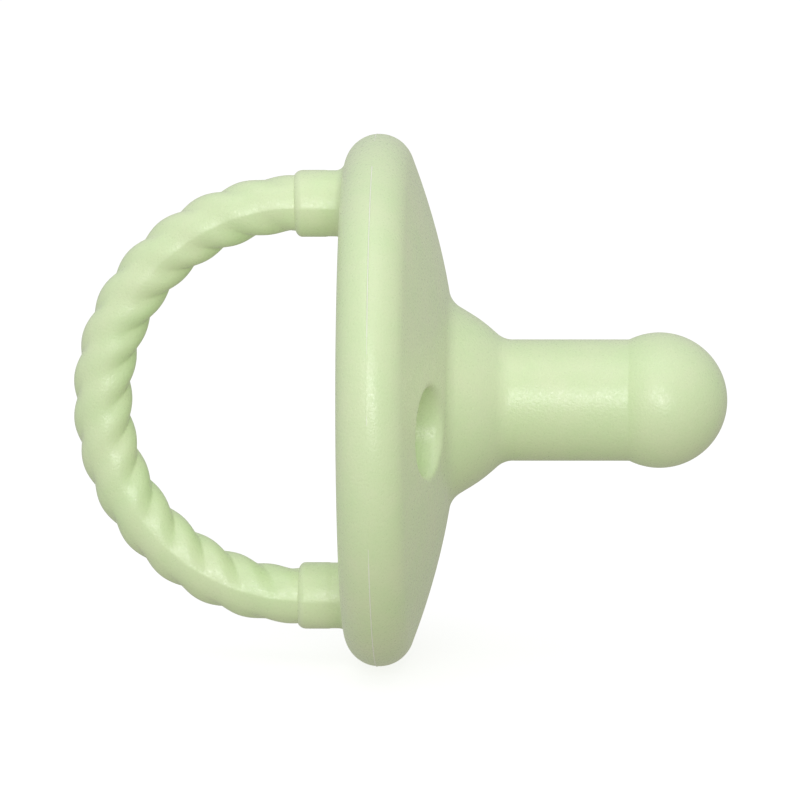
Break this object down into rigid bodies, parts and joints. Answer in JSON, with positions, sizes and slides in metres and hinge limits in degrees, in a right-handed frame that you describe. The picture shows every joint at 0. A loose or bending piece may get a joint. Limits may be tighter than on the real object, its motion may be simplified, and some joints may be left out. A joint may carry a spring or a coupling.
{
  "type": "pacifier",
  "caption": "Silicone pacifier with a round domed shield, vent holes, a round hollow nipple and a half-ring handle shaped like twisted rope.",
  "frame": {"origin": "centre of the bounding box, on the nipple's axis, 5.6 mm in front of the shield's flat back", "axes": "+X along the nipple's axis from the shield to the nipple's tip; the handle lies in the XZ plane, +Z towards its upper collar; the vent holes lie on the Y axis's two sides"},
  "size_m": [0.0663, 0.054, 0.054],
  "materials": {
    "silicone": "matt, fine-grained moulded silicone, light green"
  },
  "bodies": {
    "shield": {"shield": "silicone", "nipple_flare": "silicone", "handle_collar_upper": "silicone", "handle_collar_lower": "silicone"},
    "neck": {"nipple_neck": "silicone"},
    "bulb": {"nipple_bulb": "silicone"},
    "handle": {"handle_rope": "silicone"}
  },
  "joints": [
    {"name": "handle_swing", "type": "hinge", "parent": "shield", "child": "handle", "pos_m": [-0.01247, 0, 0], "axis": [0, 0, 1], "range_deg": [-50, 50], "stiffness_Nm_per_rad": 0.02},
    {"name": "neck_bend", "type": "hinge", "parent": "shield", "child": "neck", "pos_m": [0.01424, 0, 0], "axis": [0, 1, 0], "range_deg": [-25, 25], "stiffness_Nm_per_rad": 0.17},
    {"name": "bulb_bend", "type": "hinge", "parent": "neck", "child": "bulb", "pos_m": [0.02028, 0, 0], "axis": [0, 0, 1], "range_deg": [-25, 25], "stiffness_Nm_per_rad": 0.17}
  ]
}
